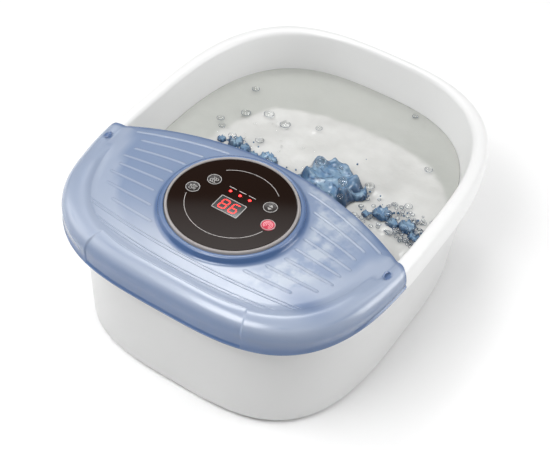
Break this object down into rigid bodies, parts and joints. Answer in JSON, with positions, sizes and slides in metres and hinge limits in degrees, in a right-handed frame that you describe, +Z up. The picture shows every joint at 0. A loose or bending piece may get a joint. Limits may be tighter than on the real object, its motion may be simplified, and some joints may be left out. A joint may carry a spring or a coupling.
{
  "type": "foot spa basin",
  "caption": "Foot spa basin: white oval tub, lift-off blue splash cover round a glossy round control panel, free-turning massage rollers and bubble strips on the floor.",
  "frame": {"origin": "on the ground, under the middle of the whole object's box", "axes": "+Z up, +Y towards the user's end where the feet go in, -Y towards the end under the splash cover, +X to the right of someone who looks along +Y from the covered end"},
  "size_m": [0.3452, 0.4239, 0.177],
  "materials": {
    "white_plastic": "glossy moulded ABS",
    "base_plastic": "moulded ABS, fine texture",
    "blue_cover": "glossy tinted translucent plastic",
    "roller_plastic": "glossy moulded plastic",
    "cradle_plastic": "glossy moulded plastic",
    "steel": "stainless",
    "foot_rubber": "soft rubber",
    "bezel_plastic": "satin light grey",
    "black_panel": "high gloss, smoked",
    "black_button": "gloss with a silver ring",
    "red_button": "gloss with a silver ring",
    "red_lens": "clear red lens, lit",
    "dark_plastic": "moulded nylon",
    "circuit_board": "glass-fibre laminate",
    "clear_silicone": "clear silicone",
    "aluminium_plate": "cast, as made",
    "lead_sheath": "PVC sheath"
  },
  "bodies": {
    "basin": {"air_hose": "clear_silicone", "air_manifold": "clear_silicone", "air_pump": "dark_plastic", "base_plate": "base_plastic", "base_screw_1": "steel", "base_screw_2": "steel", "base_screw_3": "steel", "base_screw_4": "steel", "base_screw_5": "steel", "base_screw_6": "steel", "bubble_strip_left": "cradle_plastic", "bubble_strip_right": "cradle_plastic", "bubble_switch": "dark_plastic", "control_board": "circuit_board", "control_panel": "black_panel", "display_module": "dark_plastic", "display_window": "red_lens", "heat_switch": "dark_plastic", "heater_lead": "lead_sheath", "heater_plate": "aluminium_plate", "indicator_lamp_1": "red_lens", "indicator_lamp_2": "red_lens", "indicator_lamp_3": "red_lens", "inner_basin": "white_plastic", "mains_lead": "lead_sheath", "motor_clamp": "dark_plastic", "motor_lead": "lead_sheath", "outer_shell": "white_plastic", "panel_bezel": "bezel_plastic", "panel_cable": "lead_sheath", "panel_gasket": "foot_rubber", "power_board": "circuit_board", "power_inlet": "foot_rubber", "power_switch": "dark_plastic", "pump_lead": "lead_sheath", "roller_axle_left_front": "steel", "roller_axle_left_rear": "steel", "roller_axle_right_front": "steel", "roller_axle_right_rear": "steel", "roller_cradle_left": "cradle_plastic", "roller_cradle_right": "cradle_plastic", "rubber_foot_front_left": "foot_rubber", "rubber_foot_front_right": "foot_rubber", "rubber_foot_rear_left": "foot_rubber", "rubber_foot_rear_right": "foot_rubber", "temperature_switch": "dark_plastic", "thermostat": "dark_plastic", "transformer": "dark_plastic", "vibration_motor": "steel"},
    "cover": {"splash_cover": "blue_cover"},
    "power_button": {"power_button": "red_button"},
    "temperature_button": {"temperature_button": "black_button"},
    "heat_button": {"heat_button": "black_button"},
    "bubble_button": {"bubble_button": "black_button"},
    "eccentric_weight": {"eccentric_weight": "steel"},
    "massage_roller_left_front": {"massage_roller_left_front": "roller_plastic"},
    "massage_roller_left_rear": {"massage_roller_left_rear": "roller_plastic"},
    "massage_roller_right_front": {"massage_roller_right_front": "roller_plastic"},
    "massage_roller_right_rear": {"massage_roller_right_rear": "roller_plastic"}
  },
  "joints": [
    {"name": "cover_lift", "type": "slide", "parent": "basin", "child": "cover", "axis": [0, 0, 1], "range_m": [0, 0.08]},
    {"name": "power_button_press", "type": "slide", "parent": "basin", "child": "power_button", "axis": [0, 0, -1], "range_m": [0, 0.001], "stiffness_N_per_m": 400, "springref_m": -0.0004},
    {"name": "temperature_button_press", "type": "slide", "parent": "basin", "child": "temperature_button", "axis": [0, 0, -1], "range_m": [0, 0.001], "stiffness_N_per_m": 400, "springref_m": -0.0004},
    {"name": "heat_button_press", "type": "slide", "parent": "basin", "child": "heat_button", "axis": [0, 0, -1], "range_m": [0, 0.001], "stiffness_N_per_m": 400, "springref_m": -0.0004},
    {"name": "bubble_button_press", "type": "slide", "parent": "basin", "child": "bubble_button", "axis": [0, 0, -1], "range_m": [0, 0.001], "stiffness_N_per_m": 400, "springref_m": -0.0004},
    {"name": "roller_left_front_spin", "type": "hinge", "parent": "basin", "child": "massage_roller_left_front", "pos_m": [-0.084, -0.031, 0.0642], "axis": [1, 0, 0], "continuous": true},
    {"name": "roller_left_rear_spin", "type": "hinge", "parent": "basin", "child": "massage_roller_left_rear", "pos_m": [-0.084, 0.001, 0.0642], "axis": [1, 0, 0], "continuous": true},
    {"name": "roller_right_front_spin", "type": "hinge", "parent": "basin", "child": "massage_roller_right_front", "pos_m": [0.084, -0.031, 0.0642], "axis": [1, 0, 0], "continuous": true},
    {"name": "roller_right_rear_spin", "type": "hinge", "parent": "basin", "child": "massage_roller_right_rear", "pos_m": [0.084, 0.001, 0.0642], "axis": [1, 0, 0], "continuous": true},
    {"name": "motor_spin", "type": "hinge", "parent": "basin", "child": "eccentric_weight", "pos_m": [0.1005, -0.035, 0.0262], "axis": [1, 0, 0], "continuous": true}
  ]
}
